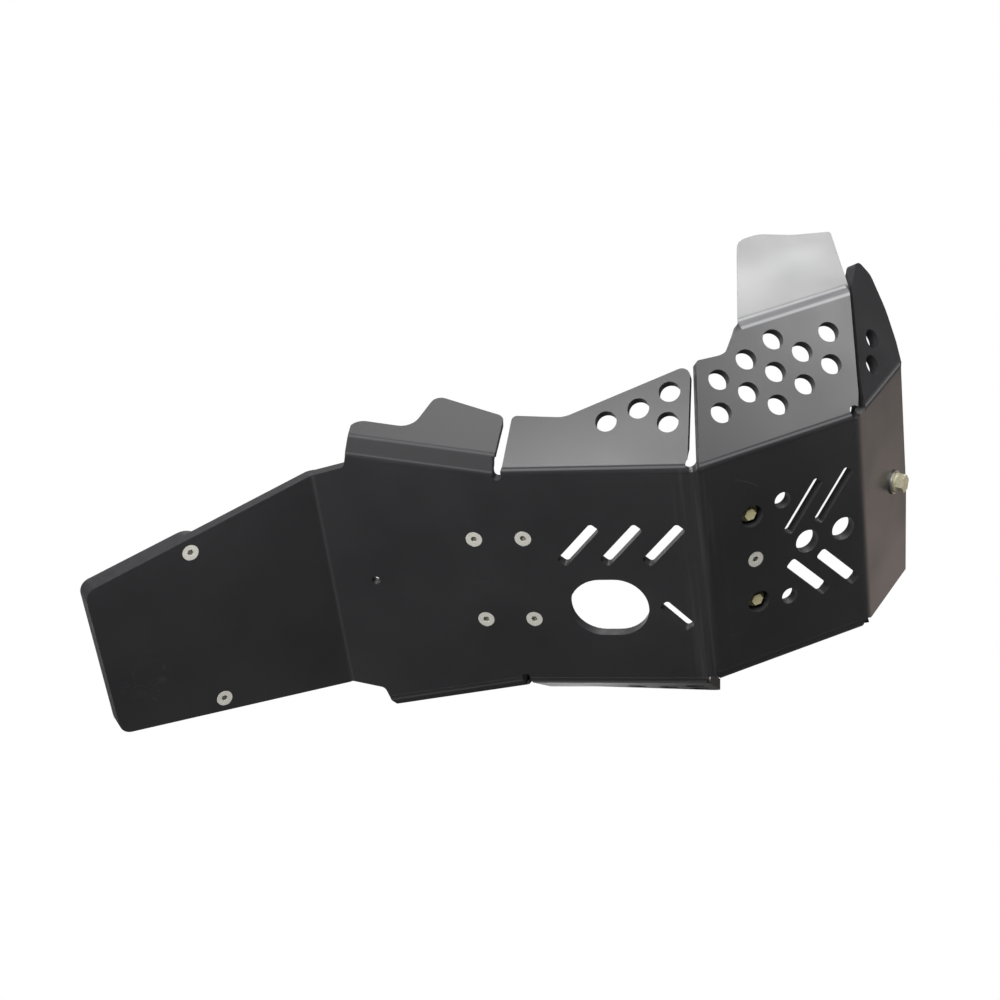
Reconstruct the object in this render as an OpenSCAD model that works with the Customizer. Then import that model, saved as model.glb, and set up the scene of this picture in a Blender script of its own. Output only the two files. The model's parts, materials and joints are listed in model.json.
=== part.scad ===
// Skid plate for an off-road motorcycle, with a tail that guards the suspension linkage.
// One thick plastic sheet is routed flat and folded warm. Clamps, brackets and screws hold it to the frame.
// Millimetres. X points to the front of the motorcycle, Y to its left and Z up, as the plate stands on a floor.
// The origin is the middle of the rear clamp's bore, on the axis of the frame's cross tube.

/* [Sheet] */
// Thickness of the plastic sheet
sheet_t = 8; // [6:0.5:9]
// Outer radius of the crisp side folds
fold_r = 3; // [2:0.5:5]
// Diameter of the round perforations in the side wings
perf_d = 15; // [10:0.5:16]

/* [Belly] */
// Length of the flat belly, from the tail bend to the front bend
belly_len = 270; // [260:1:290]
// Half the width of the belly between the side folds
belly_half_w = 90; // [84:1:96]
// Half the width at the tail bend
tail_root_half_w = 89; // [84:1:91]
// Length of the drain opening
drain_len = 57; // [50:1:58]
// Width of the drain opening
drain_w = 47; // [40:1:48]
// Distance of the drain opening behind the front bend
drain_back = 69; // [66:1:74]
// Distance of the drain opening to the left of the middle
drain_off = 24.5; // [24:0.5:28]
// Diameter of the small hole near the tail bend
wash_d = 6.5; // [5:0.5:9]
// Distance of the small hole ahead of the tail bend
wash_ahead = 32.5; // [25:0.5:40]

/* [Slots] */
// Width of the mud slots
slot_w = 8.5; // [6:0.5:9]
// Length of the mud slots in the belly
belly_slot_len = 40; // [30:1:42]
// Angle of the mud slots in the belly
belly_slot_angle = 47.5; // [42:0.5:52]
// Length of the mud slots in the front panel
front_slot_len = 44; // [36:1:46]
// Angle of the mud slots in the front panel
front_slot_angle = 50.5; // [46:0.5:54]

/* [Tail] */
// Angle by which the tail drops from the belly
tail_angle = 37; // [30:0.5:40]
// Length of the tail
tail_len = 176; // [165:1:190]
// Half the width at the end of the tail
tail_end_half_w = 60; // [56:1:64]
// Distance of the tail screws ahead of the tail's end
tail_screw_ahead = 78.5; // [72:0.5:84]
// Half the distance between the tail screws
tail_screw_off = 62.5; // [54:0.5:63]
// Length of the doubler plate on the tail
doubler_len = 92; // [90:1:100]
// Thickness of the doubler plate on the tail
doubler_t = 8; // [6:0.5:9]

/* [Front] */
// Angle by which the front panel rises from the belly
front_angle = 34; // [28:0.5:38]
// Length of the front panel between its two bends
front_len = 130; // [126:1:136]
// Half the width of the front panel between its side folds
front_half_w = 88.5; // [86:0.5:92]
// Diameter of the access holes over the bracket bolts
access_d = 17; // [15.5:0.5:19]
// Diameter of the two round holes on the front panel's centre line
centre_hole_d = 18; // [14:0.5:20]
// Diameter of the two smaller round holes beside them
small_hole_d = 12.5; // [10:0.5:14]
// Distance of the bracket bolts from the front bend
bracket_bolt_x = 42; // [38:0.5:46]
// Half the distance between the bracket bolts
bracket_bolt_off = 35.5; // [32:0.5:38]

/* [Nose] */
// Angle by which the nose rises from the front panel
nose_angle = 36.5; // [30:0.5:40]
// Length of the nose panel
nose_len = 81; // [76:1:88]
// Half the width of the nose panel
nose_half_w = 86.5; // [84:0.5:88]
// Distance of the nose bolt from the nose bend
nose_bolt_x = 58; // [50:0.5:64]
// Flare of the horn on the right of the nose
horn_angle = 28; // [24:1:34]

/* [Wings] */
// Flare of the side wings beside the belly
side_wing_angle = 50; // [44:1:54]
// Flare of the large right wing beside the front panel
right_wing_angle = 44.5; // [40:0.5:48]
// Flare of the left wing beside the front panel
left_wing_angle = 64; // [60:1:68]
// Second bend of the large right wing, to its upper flap
flap_angle = 35; // [28:1:40]
// Outer radius of that second bend
flap_r = 22; // [16:1:26]
// First bend of the rear wings
rear_wing_angle = 40; // [34:1:46]
// Second bend of the rear wings
rear_flap_angle = 30; // [24:1:36]
// Width of the strip between the two bends of a rear wing
rear_strip_w = 12.6; // [12:0.2:16]

/* [Fasteners] */
// Thread diameter of the small screws and bolts
screw_d = 6; // [5:0.5:6]
// Head diameter of the countersunk screws
screw_head_d = 12; // [10.5:0.5:12.5]
// Lengthwise spacing of the belly screws
belly_screw_dx = 35.5; // [35.5:0.5:40]
// Crosswise spacing of the belly screws
belly_screw_dy = 68; // [60:1:72]
// Distance from the front bend back to the middle of the belly screws
belly_screw_back = 142.5; // [141:0.5:150]
// Thread diameter of the nose bolt
nose_bolt_d = 8; // [6:1:8]

/* [Clamp] */
// Diameter of the frame tube that the rear clamp holds
tube_d = 25; // [20:1:25]
// Distance from the belly screws to the ends and sides of the rear clamp
clamp_margin = 9; // [7:0.5:12]
// Height of the tube's middle above the belly's inner face
tube_height = 16; // [15:1:22]
// Thickness of the front bracket
bracket_t = 4; // [3:0.5:6]

/* [Hidden] */
$fn = 48;

clear_r = 0.3;      // radial clearance of a hole round a screw
neck = 0.6;         // depth of the neck ahead of a bolt's thread
tip = 0.8;          // chamfer at the end of a screw or bolt
thread_gap = 0.05;  // radial gap between a screw and its thread
head_sink = 0.15;   // depth of a countersunk head below the surface
seat_gap = 0.2;     // how much wider a countersink is than its head at the surface
cut = 60;           // depth of a cutting shape
front_r = 30;       // outer radius of the bend ahead of the belly
nose_r = 18;        // outer radius of the bend below the nose
tail_r = 2;         // radius of the valley between belly and tail
rear_fold_r = 6;    // outer radius of the first bend of a rear wing
rear_flap_r = 10;   // outer radius of the second bend of a rear wing
relief_w = 6;       // width of a relief slot between two wings
relief_in = 8;      // reach of a relief slot into the belly
corner_relief_r = 4.5;  // radius of a relief hole where two bend lines meet

// Setback of a bend: from the meeting of the two outer faces to where the bend starts
function setback(r, angle) = r * tan(angle / 2);
doubler_k = doubler_len / 92;   // how far this doubler is stretched against the measured one
tail_screw_back = tail_len - tail_screw_ahead * doubler_k;
front_set = setback(front_r, front_angle);
tail_set = setback(tail_r, tail_angle);
flap_set = setback(flap_r, flap_angle);

// Pitch at which the folded sheet stands on the end of its tail and on the round of its front bend
tail_end_x = -belly_len - tail_len * cos(tail_angle);
tail_end_z = -tail_len * sin(tail_angle);
round_dx = -front_set - tail_end_x;
round_dz = front_r - tail_end_z;
rest_pitch = atan2(round_dz, round_dx) - asin(front_r / norm([round_dx, round_dz]));

// Outline of rounded corners: each point is [x, y, radius], and a missing radius leaves the corner sharp
function unit(v) = v / norm(v);
function corner_arc(a, b, c, r) =
    let (u = unit(a - b), w = unit(c - b), half = acos(u * w) / 2,
         reach = r / tan(half), centre = b + unit(u + w) * r / sin(half),
         p = b + u * reach, q = b + w * reach,
         start = atan2(p[1] - centre[1], p[0] - centre[0]),
         turn = atan2(q[1] - centre[1], q[0] - centre[0]) - start,
         sweep = turn > 180 ? turn - 360 : turn < -180 ? turn + 360 : turn,
         steps = max(2, ceil(abs(sweep) / 12)))
    [for (i = [0 : steps]) centre + r * [cos(start + sweep * i / steps), sin(start + sweep * i / steps)]];
function flat(p) = [p[0], p[1]];
function stretch(points, kx, ky = 1) =
    [for (p = points) len(p) < 3 ? [p[0] * kx, p[1] * ky] : [p[0] * kx, p[1] * ky, p[2]]];
function outline(points) =
    let (n = len(points))
    [for (i = [0 : n - 1])
        let (p = points[i], before = flat(points[(i + n - 1) % n]), after = flat(points[(i + 1) % n]))
        each (len(p) < 3 ? [flat(p)] : corner_arc(before, flat(p), after, p[2]))];

// Frames. Each panel's outer face is at z = 0 and its inner face at z = sheet_t.
module on_floor() {
    rotate([0, rest_pitch, 0]) translate([belly_screw_back, 0, -sheet_t - tube_height]) children();
}
module at_front() {
    rotate([0, -front_angle, 0]) children();
}
module at_nose() {
    at_front() translate([front_len, 0, 0]) rotate([0, -nose_angle, 0]) children();
}
module at_tail() {
    translate([-belly_len, 0, 0]) rotate([0, -tail_angle, 0]) children();
}
module both_sides() {
    children();
    mirror([0, 1, 0]) children();
}

// Section of a folded sheet. A corner is [place, heading before, heading after, signed radius of the outer face].
function normal(h) = [-sin(h), cos(h)];
function bend_points(corner, d) =
    let (h0 = corner[1], turn = corner[2] - h0, c = corner[3], back = abs(c) * tan(abs(turn) / 2),
         centre = corner[0] - back * [cos(h0), sin(h0)] + c * normal(h0), steps = max(2, ceil(abs(turn) / 6.5)))
    [for (i = [0 : steps]) centre - (c - d) * normal(h0 + turn * i / steps)];
function reversed(list) = [for (i = [len(list) - 1 : -1 : 0]) list[i]];
function face_line(start, corners, finish, d) = concat(
    [start + d * normal(corners[0][1])],
    [for (corner = corners) each bend_points(corner, d)],
    [finish + d * normal(corners[len(corners) - 1][2])]);
function sheet_section(start, corners, finish) = concat(
    face_line(start, corners, finish, 0), reversed(face_line(start, corners, finish, sheet_t)));

// Building shapes of the folded sheet
module panel(points, t = sheet_t) {
    linear_extrude(t) polygon(outline(points));
}
module prism(points) {
    translate([0, 0, -cut / 2]) linear_extrude(cut) polygon(outline(points));
}
// Solid that runs along X from x0 to x1, from a section drawn outwards and upwards
module run_along(x0, x1, section) {
    translate([x0, 0, 0]) rotate([90, 0, 90]) linear_extrude(x1 - x0) polygon([for (p = section) [-p[0], p[1]]]);
}
// What a crisp side fold loses outside its radius, for a wing that reaches to -Y
module fold_waste(x0, x1, r, angle) {
    set = setback(r, angle);
    steps = max(2, ceil(angle / 11));
    arc = [for (i = [0 : steps]) [-set + r * sin(angle * i / steps), r - r * cos(angle * i / steps)]];
    first = arc[0] - 8 * unit(arc[1] - arc[0]);
    last = arc[steps] + 8 * unit(arc[steps] - arc[steps - 1]);
    far = [sin(angle / 2), -cos(angle / 2)] * 12;
    run_along(x0, x1, concat([first], [for (i = [1 : steps - 1]) arc[i]], [last, far]));
}
module slot(x, y, length, angle, w = slot_w) {
    translate([x, y, 0]) rotate([0, 0, angle]) prism([
        [-length / 2, -w / 2, 2.5], [length / 2, -w / 2, 2.5], [length / 2, w / 2, 2.5], [-length / 2, w / 2, 2.5]]);
}
module hole(x, y, d) {
    translate([x, y, -cut / 2]) cylinder(d = d, h = cut);
}
module countersunk_hole(x, y) {
    head_r = screw_head_d / 2;
    hole(x, y, screw_d + 2 * clear_r);
    translate([x, y, -1]) cylinder(r1 = head_r + 1 + seat_gap, r2 = screw_d / 2 + seat_gap, h = head_r - screw_d / 2 + 1);
}

// Spine of the sheet: tail, belly, front panel and nose in one section, cut to its outline
tail_place = [-belly_len, 0];
nose_place = front_len * [cos(front_angle), sin(front_angle)];
nose_heading = front_angle + nose_angle;
spine_section = sheet_section(
    tail_place - (tail_len + 5) * [cos(tail_angle), sin(tail_angle)],
    [[tail_place, tail_angle, 0, -tail_r], [[0, 0], 0, front_angle, front_r],
        [nose_place, front_angle, nose_heading, nose_r]],
    nose_place + (nose_len + 5) * [cos(nose_heading), sin(nose_heading)]);
belly_k = belly_len / 270;      // how far this belly is stretched against the measured one
front_k = front_len / 130;
nose_k = nose_len / 81;
fold_lap = 1;       // how far the spine stays short of a fold line, inside the wing's thickness
wing_lap = -3;      // where a wing starts, inside the fold line
rear_fold_start = [-140 * belly_k, belly_half_w - 1.5];
rear_fold_end = [-243 * belly_k, belly_half_w + 16.7];
rear_fold_run = rear_fold_end - rear_fold_start;
rear_fold_len = norm(rear_fold_run);
rear_fold_yaw = atan2(rear_fold_run[1], -rear_fold_run[0]);
belly_slots = stretch([[-86, -28], [-55.5, -27.5], [-25.5, -27]], belly_k);

module spine_half_outline() {
    belly_edge = belly_half_w - fold_lap;
    front_edge = front_half_w - fold_lap;
    nose_edge = nose_half_w - fold_lap;
    prism([[0, -0.5], [0, belly_edge], [rear_fold_start[0] + relief_w, belly_edge],
        [rear_fold_start[0], rear_fold_start[1] - fold_lap], [rear_fold_end[0], rear_fold_end[1] - fold_lap],
        [rear_fold_end[0] - 3, tail_root_half_w + 6, 5], [-belly_len, tail_root_half_w], [-belly_len, -0.5]]);
    at_tail() prism([[9, -0.5], [9, tail_root_half_w], [-2, tail_root_half_w],
        [-tail_len, tail_end_half_w, 9], [-tail_len, -0.5]]);
    at_front() prism([[-2, -0.5], [-2, front_edge], [front_len + 2, front_edge], [front_len + 2, -0.5]]);
    at_nose() prism([[-2, -0.5], [-2, nose_edge], [nose_len, nose_edge], [nose_len, -0.5]]);
}
module spine() {
    difference() {
        intersection() {
            translate([0, 150, 0]) rotate([90, 0, 0]) linear_extrude(300) polygon(spine_section);
            both_sides() spine_half_outline();
        }
        belly_holes();
        at_tail() tail_holes();
        at_front() front_holes();
        at_nose() nose_cuts();
    }
}
module belly_holes() {
    for (sx = [-1, 1], sy = [-1, 1])
        countersunk_hole(-belly_screw_back + sx * belly_screw_dx / 2, sy * belly_screw_dy / 2);
    for (p = belly_slots)
        slot(p[0], p[1], belly_slot_len, -belly_slot_angle);
    slot(-21 * belly_k, 31.8, belly_slot_len * 0.68, belly_slot_angle);
    for (sx = [-1, 1])
        hole(-drain_back + sx * (drain_len - drain_w) / 2, drain_off, drain_w);
    translate([-drain_back, drain_off, 0]) cube([drain_len - drain_w, drain_w, cut], center = true);
    hole(-belly_len + wash_ahead, 0, wash_d);
}
module tail_holes() {
    for (sy = [-1, 1])
        countersunk_hole(-tail_screw_back, sy * tail_screw_off);
}
module front_holes() {
    countersunk_hole(bracket_bolt_x, 0);
    for (sy = [-1, 1]) {
        hole(bracket_bolt_x, sy * bracket_bolt_off, access_d);
        hole(66.5 * front_k, sy * 40, small_hole_d);
        slot(82.5 * front_k, sy * 29.5, front_slot_len, sy * front_slot_angle);
        slot(107 * front_k, sy * 30, front_slot_len, sy * front_slot_angle);
    }
    hole(83.5 * front_k, 0, centre_hole_d);
    hole(113 * front_k, 0, centre_hole_d);
}
module nose_cuts() {
    hole(nose_bolt_x, 0, nose_bolt_d + 2 * clear_r);
    prism([[nose_len, 18], [nose_len - 8, nose_half_w + 3], [nose_len + 20, nose_half_w + 3], [nose_len + 20, 18]]);
}

// Wings, drawn for the right side: the fold runs along X and the wing reaches to -Y
side_wing_back = rear_fold_start[0] + relief_w + 0.5;
side_wing_holes = stretch([[-61, -34.5], [-38.7, -43.5], [-17.5, -55.3], [-18, -32.9]], belly_k);
module side_wing() {
    translate([0, -belly_half_w, 0]) rotate([-side_wing_angle, 0, 0]) difference() {
        panel([[side_wing_back, -wing_lap], [side_wing_back + 6, -40.5, 4], [-91 * belly_k, -38.3, 20],
            [-3.5, -75.5, 6], [-3.5, -wing_lap]]);
        for (p = side_wing_holes)
            hole(p[0], p[1], perf_d);
    }
}

// Perforations of the front wings lie on a lattice of [row, column] places
perf_origin = [35.8 * front_k, 30.8];
perf_row = [24.8 * front_k, 7.8];
perf_column = [8.2 * front_k, 22.8];
perf_places = [[0, 0], [0, 1], [1, 0], [1, 1], [2, -1], [2, 0], [2, 1], [3, -1], [3, 0], [4, -1], [4, 0]];
module perforations(top) {
    for (k = perf_places) {
        p = perf_origin + k[0] * perf_row + k[1] * perf_column;
        if (p[1] + perf_d / 2 + 3 < top)
            hole(p[0], -p[1], perf_d);
    }
}
wing_bend_t = 87.5;
right_wing_section = sheet_section([wing_lap, 0], [[[wing_bend_t, 0], 0, flap_angle, flap_r]],
    [wing_bend_t, 0] + 110 * [cos(flap_angle), sin(flap_angle)]);
module right_wing() {
    translate([0, -front_half_w, 0]) rotate([-right_wing_angle, 0, 0]) difference() {
        intersection() {
            run_along(-10, front_len + 70, right_wing_section);
            union() {
                prism(stretch([[4.2, -wing_lap], [34, -71.5, 3], [57, -69.5, 14], [74.2, -wing_bend_t - 0.5],
                    [164, -wing_bend_t - 0.5], [136.4, -13, 8], [128.6, -wing_lap]], front_k));
                translate([0, -wing_bend_t, 0]) rotate([-flap_angle, 0, 0])
                    prism(stretch([[73.5, 0.5], [124, -92, 14], [142, -92, 16], [163, -79, 30], [189.5, -69.5, 2.5],
                        [163.4, 0.5]], front_k));
            }
        }
        perforations(wing_bend_t - flap_set);
    }
}
module left_wing() {
    top = 72;
    translate([0, -front_half_w, 0]) rotate([-left_wing_angle, 0, 0]) difference() {
        panel(stretch([[4.2, -wing_lap], [36, -top, 6], [144, -top, 12], [136.4, -13, 8], [128.6, -wing_lap]], front_k));
        perforations(top);
    }
}
rear_wing_section = sheet_section([wing_lap, 0], [[[rear_strip_w, 0], 0, rear_flap_angle, rear_flap_r]],
    [rear_strip_w, 0] + 60 * [cos(rear_flap_angle), sin(rear_flap_angle)]);
module at_rear_fold() {
    translate([rear_fold_start[0], -rear_fold_start[1], 0]) rotate([0, 0, rear_fold_yaw]) children();
}
module rear_wing() {
    at_rear_fold() rotate([-rear_wing_angle, 0, 0]) intersection() {
        run_along(-rear_fold_len, 0, rear_wing_section);
        translate([0, -rear_strip_w, 0]) rotate([-rear_flap_angle, 0, 0])
            prism(stretch([[-106.6, 20], [-106.6, -15, 12], [-62, -14.5, 14],
                [-51, -46.5, 8], [0.5, -35.5, 6], [0.8, 20]], rear_fold_len / 104.6));
    }
}
module horn() {
    translate([0, -nose_half_w, 0]) rotate([-horn_angle, 0, 0]) difference() {
        panel(stretch([[12, -wing_lap], [24, -15, 8], [76, -69.5, 20], [98, -80, 6], [104, -64, 12],
            [99, -37, 60], [90, -14, 30], [80.5, -wing_lap]], nose_k));
        hole(64 * nose_k, -29.5, perf_d);
        hole(47.5 * nose_k, -16.5, perf_d);
    }
}

module skid_plate() color("#2b2b2d") on_floor() difference() {
    union() {
        spine();
        at_front() {
            right_wing();
            mirror([0, 1, 0]) left_wing();
        }
        at_nose() horn();
        both_sides() {
            side_wing();
            rear_wing();
        }
    }
    both_sides() {
        reliefs();
        translate([0, -belly_half_w, 0]) fold_waste(side_wing_back - 0.2, -3.2, fold_r, side_wing_angle);
        at_rear_fold() fold_waste(-rear_fold_len - 0.2, 0.3, rear_fold_r, rear_wing_angle);
    }
    at_front() {
        translate([0, -front_half_w, 0]) fold_waste(3.9, front_len - 1.1, fold_r, right_wing_angle);
        mirror([0, 1, 0]) translate([0, -front_half_w, 0]) fold_waste(3.9, front_len - 1.1, fold_r, left_wing_angle);
    }
    at_nose() translate([0, -nose_half_w, 0]) fold_waste(11.7, nose_len + 3, fold_r, horn_angle);
}
module reliefs() {
    relief_x = rear_fold_start[0] + relief_w / 2;
    relief_y = belly_half_w - relief_in + relief_w / 2;
    hole(relief_x, -relief_y, relief_w);
    translate([relief_x - relief_w / 2, -relief_y - 12, -1]) cube([relief_w, 12, sheet_t + 8]);
    rotate([0, -front_angle / 2, 0]) hole(0, -front_half_w - 1, 2 * corner_relief_r);
    at_front() translate([front_len, -nose_half_w - 2, 0]) rotate([0, -nose_angle / 2, 0]) hole(0, 0, 2 * corner_relief_r);
}

// Doubler plate that stiffens the end of the tail, on its inner face
module tail_doubler() color("#2e2e30") on_floor() at_tail() {
    front_x = doubler_len - tail_len;
    slope = (tail_root_half_w - tail_end_half_w) / (tail_len - tail_set);
    front_y = tail_end_half_w + slope * (tail_len + front_x) - 0.5;
    translate([0, 0, sheet_t]) difference() {
        panel([[front_x, -front_y, 14], [front_x, front_y, 14],
            [-tail_len, tail_end_half_w, 9], [-tail_len, -tail_end_half_w, 9]], doubler_t);
        for (sy = [-1, 1])
            hole(-tail_screw_back, sy * tail_screw_off, screw_d + 2 * clear_r);
    }
}

// Countersunk screw with a hexagon socket, its head just below z = 0 and its shank to +Z
module countersunk_screw(length) {
    head_r = screw_head_d / 2;
    socket_af = screw_d * 2 / 3;
    shank_r = screw_d / 2;
    difference() {
        rotate_extrude() polygon([[0, head_sink], [head_r, head_sink], [shank_r, head_sink + head_r - shank_r],
            [shank_r, length - tip], [shank_r - tip, length], [0, length]]);
        translate([0, 0, -1]) cylinder(d = socket_af / cos(30), h = 1 + head_sink + socket_af * 0.6, $fn = 6);
    }
}
// Flanged hexagon head below z = 0, with a plain shank of length grip to +Z, then a neck and a thread
module flanged_bolt(d, grip, length, af, flange_d, head_h) {
    thread_r = d / 2 - thread_gap;
    neck_r = d / 2 - neck;
    skirt = flange_d * 0.1;
    rotate_extrude() polygon([[0, -2 * skirt], [af / 2 - 0.3, -2 * skirt], [flange_d / 2, -skirt], [flange_d / 2, 0],
        [d / 2, 0], [d / 2, grip - 1], [neck_r, grip - 1 + neck], [neck_r, grip], [thread_r, grip + thread_r - neck_r],
        [thread_r, length - tip], [thread_r - tip, length], [0, length]]);
    translate([0, 0, -head_h]) cylinder(d = af / cos(30), h = head_h - skirt / 2, $fn = 6);
}
module flanged_nut(d, af, flange_d, h) {
    difference() {
        union() {
            cylinder(d = flange_d, h = 1.3);
            cylinder(d = af / cos(30), h = h, $fn = 6);
        }
        translate([0, 0, -1]) cylinder(d = d + 2 * thread_gap, h = h + 2);
    }
}

belly_screw_len = sheet_t + tube_height + 14;
module belly_screw(sx, sy) color("#c9c8c2") on_floor()
    translate([-belly_screw_back + sx * belly_screw_dx / 2, sy * belly_screw_dy / 2, 0])
        countersunk_screw(belly_screw_len);
module tail_screw(sy) color("#c9c8c2") on_floor() at_tail()
    translate([-tail_screw_back, sy * tail_screw_off, 0]) countersunk_screw(sheet_t + doubler_t + 8);
module tail_nut(sy) color("#b9b7ae") on_floor() at_tail()
    translate([-tail_screw_back, sy * tail_screw_off, sheet_t + doubler_t]) flanged_nut(screw_d, 10, 14, 6);

// Clamp on a cross tube of the frame, split at the tube's middle
split_gap = 0.6;
clamp_w = belly_screw_dx + 2 * clamp_margin - 3;
clamp_len = belly_screw_dy + 2 * clamp_margin + 2;
module clamp_bores() {
    for (sx = [-1, 1], sy = [-1, 1])
        hole(sx * belly_screw_dx / 2, sy * belly_screw_dy / 2, screw_d + 2 * clear_r);
}
module tube_bore() {
    translate([0, cut, tube_height]) rotate([90, 0, 0]) cylinder(d = tube_d, h = 2 * cut, $fn = 72);
}
module at_clamp() {
    on_floor() translate([-belly_screw_back, 0, sheet_t]) children();
}
module rear_clamp_base() color("#a9abae") at_clamp() difference() {
    translate([-clamp_w / 2, -clamp_len / 2, 0]) cube([clamp_w, clamp_len, tube_height - split_gap / 2]);
    tube_bore();
    clamp_bores();
}
module rear_clamp_cap() color("#b4b6b9") at_clamp() {
    split = tube_height + split_gap / 2;
    shoulder = tube_height - 1;
    crown_r = tube_d / 2 + 6;
    difference() {
        union() {
            translate([-clamp_w / 2, -clamp_len / 2, split]) cube([clamp_w, clamp_len, shoulder - split_gap / 2]);
            intersection() {
                translate([0, clamp_len / 2, tube_height]) rotate([90, 0, 0]) cylinder(r = crown_r, h = clamp_len, $fn = 72);
                translate([-clamp_w / 2, -clamp_len / 2, split]) cube([clamp_w, clamp_len, cut]);
            }
        }
        tube_bore();
        for (sx = [-1, 1], sy = [-1, 1])
            hole(sx * belly_screw_dx / 2, sy * belly_screw_dy / 2, screw_d + 2 * thread_gap);
    }
}

// Bracket behind the front panel: two bolts hold it to the frame, and one screw holds the plate to it
module front_bracket() color("#3a3b3d") on_floor() at_front() translate([bracket_bolt_x, 0, sheet_t]) difference() {
    end = bracket_bolt_off + 14.5;
    panel([[-13, -end, 8], [-13, end, 8], [13, end, 8], [13, -end, 8]], bracket_t);
    hole(0, 0, screw_d + 2 * clear_r);
    for (sy = [-1, 1])
        hole(0, sy * bracket_bolt_off, screw_d + 2 * clear_r);
}
module front_screw() color("#c9c8c2") on_floor() at_front()
    translate([bracket_bolt_x, 0, 0]) countersunk_screw(sheet_t + bracket_t + 8);
module front_nut() color("#b9b7ae") on_floor() at_front()
    translate([bracket_bolt_x, 0, sheet_t + bracket_t]) flanged_nut(screw_d, 10, 14, 6);
module bracket_bolt(sy) color("#d8cf9c") on_floor() at_front()
    translate([bracket_bolt_x, sy * bracket_bolt_off, sheet_t])
        flanged_bolt(screw_d, bracket_t + 1, bracket_t + 20, screw_d * 4 / 3, 14, 5.6);

// Bolt, washer and spacer at the nose
washer_t = 1.6;
spacer_len = 12;
module nose_bolt() color("#c6c5bf") on_floor() at_nose()
    translate([nose_bolt_x, 0, -washer_t]) flanged_bolt(nose_bolt_d, washer_t + sheet_t + spacer_len + 1,
        washer_t + sheet_t + spacer_len + 16, nose_bolt_d * 1.5, 15, 7.5);
module ring(d, bore, h) {
    difference() {
        cylinder(d = d, h = h);
        translate([0, 0, -1]) cylinder(d = bore, h = h + 2);
    }
}
module nose_washer() color("#bdbcb6") on_floor() at_nose()
    translate([nose_bolt_x, 0, -washer_t]) ring(18, nose_bolt_d + 2 * clear_r, washer_t);
module nose_spacer() color("#9fa1a4") on_floor() at_nose()
    translate([nose_bolt_x, 0, sheet_t]) ring(18, nose_bolt_d + 2 * clear_r, spacer_len);

skid_plate();
tail_doubler();
rear_clamp_base();
rear_clamp_cap();
front_bracket();
belly_screw(1, 1);  // belly_screw_front_left
belly_screw(1, -1);  // belly_screw_front_right
belly_screw(-1, 1);  // belly_screw_rear_left
belly_screw(-1, -1);  // belly_screw_rear_right
tail_screw(1);  // tail_screw_left
tail_screw(-1);  // tail_screw_right
tail_nut(1);  // tail_nut_left
tail_nut(-1);  // tail_nut_right
front_screw();
front_nut();
bracket_bolt(1);  // bracket_bolt_left
bracket_bolt(-1);  // bracket_bolt_right
nose_bolt();
nose_washer();
nose_spacer();
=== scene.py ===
"""Looks for a motorcycle skid plate: finishes, softened edges, a pale studio and the photo's camera."""

import json
import logging
import math
from dataclasses import dataclass
from enum import Enum

import bmesh
import bpy
from mathutils import Euler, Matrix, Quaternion, Vector

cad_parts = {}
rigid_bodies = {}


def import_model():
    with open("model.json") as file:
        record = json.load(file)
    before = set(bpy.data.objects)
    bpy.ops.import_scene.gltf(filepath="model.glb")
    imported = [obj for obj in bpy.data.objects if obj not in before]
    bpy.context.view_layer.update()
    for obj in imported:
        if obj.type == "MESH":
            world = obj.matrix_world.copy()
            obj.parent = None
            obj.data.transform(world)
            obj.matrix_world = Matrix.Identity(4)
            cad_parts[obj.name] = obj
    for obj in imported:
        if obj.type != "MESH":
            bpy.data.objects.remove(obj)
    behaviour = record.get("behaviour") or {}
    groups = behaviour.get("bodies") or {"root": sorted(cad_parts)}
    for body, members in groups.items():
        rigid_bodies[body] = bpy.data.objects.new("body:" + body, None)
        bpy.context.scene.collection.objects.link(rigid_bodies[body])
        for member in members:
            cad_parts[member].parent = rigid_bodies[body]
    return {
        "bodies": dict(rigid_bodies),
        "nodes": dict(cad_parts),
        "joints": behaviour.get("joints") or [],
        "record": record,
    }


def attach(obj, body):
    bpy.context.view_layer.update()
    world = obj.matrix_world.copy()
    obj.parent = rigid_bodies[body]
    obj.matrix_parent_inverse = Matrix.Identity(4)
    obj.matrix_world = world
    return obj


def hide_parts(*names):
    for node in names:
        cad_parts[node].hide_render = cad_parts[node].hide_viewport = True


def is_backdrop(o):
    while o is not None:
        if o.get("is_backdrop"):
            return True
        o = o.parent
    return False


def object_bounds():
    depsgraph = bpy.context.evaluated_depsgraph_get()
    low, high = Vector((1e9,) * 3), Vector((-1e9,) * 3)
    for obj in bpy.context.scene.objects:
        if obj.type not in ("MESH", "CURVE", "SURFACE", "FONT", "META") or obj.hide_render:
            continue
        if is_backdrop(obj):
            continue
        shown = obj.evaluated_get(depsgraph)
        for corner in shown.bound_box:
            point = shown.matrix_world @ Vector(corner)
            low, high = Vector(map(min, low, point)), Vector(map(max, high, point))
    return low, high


log = logging.getLogger("skid_plate")

# Short names of Blender's own types, for the hints.
Tree = bpy.types.NodeTree
Node = bpy.types.Node
Socket = bpy.types.NodeSocket
# Linear red, green, blue and alpha.
Colour = tuple[float, float, float, float]

MM = 0.001

# The belly slopes down to the front by this pitch, in degrees.
REST_PITCH = 14.648
# The part's origin lies this far behind the front bend, and above the belly's outer face.
ORIGIN_BEHIND_BEND = 142.5
ORIGIN_ABOVE_BELLY = 24.0

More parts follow.
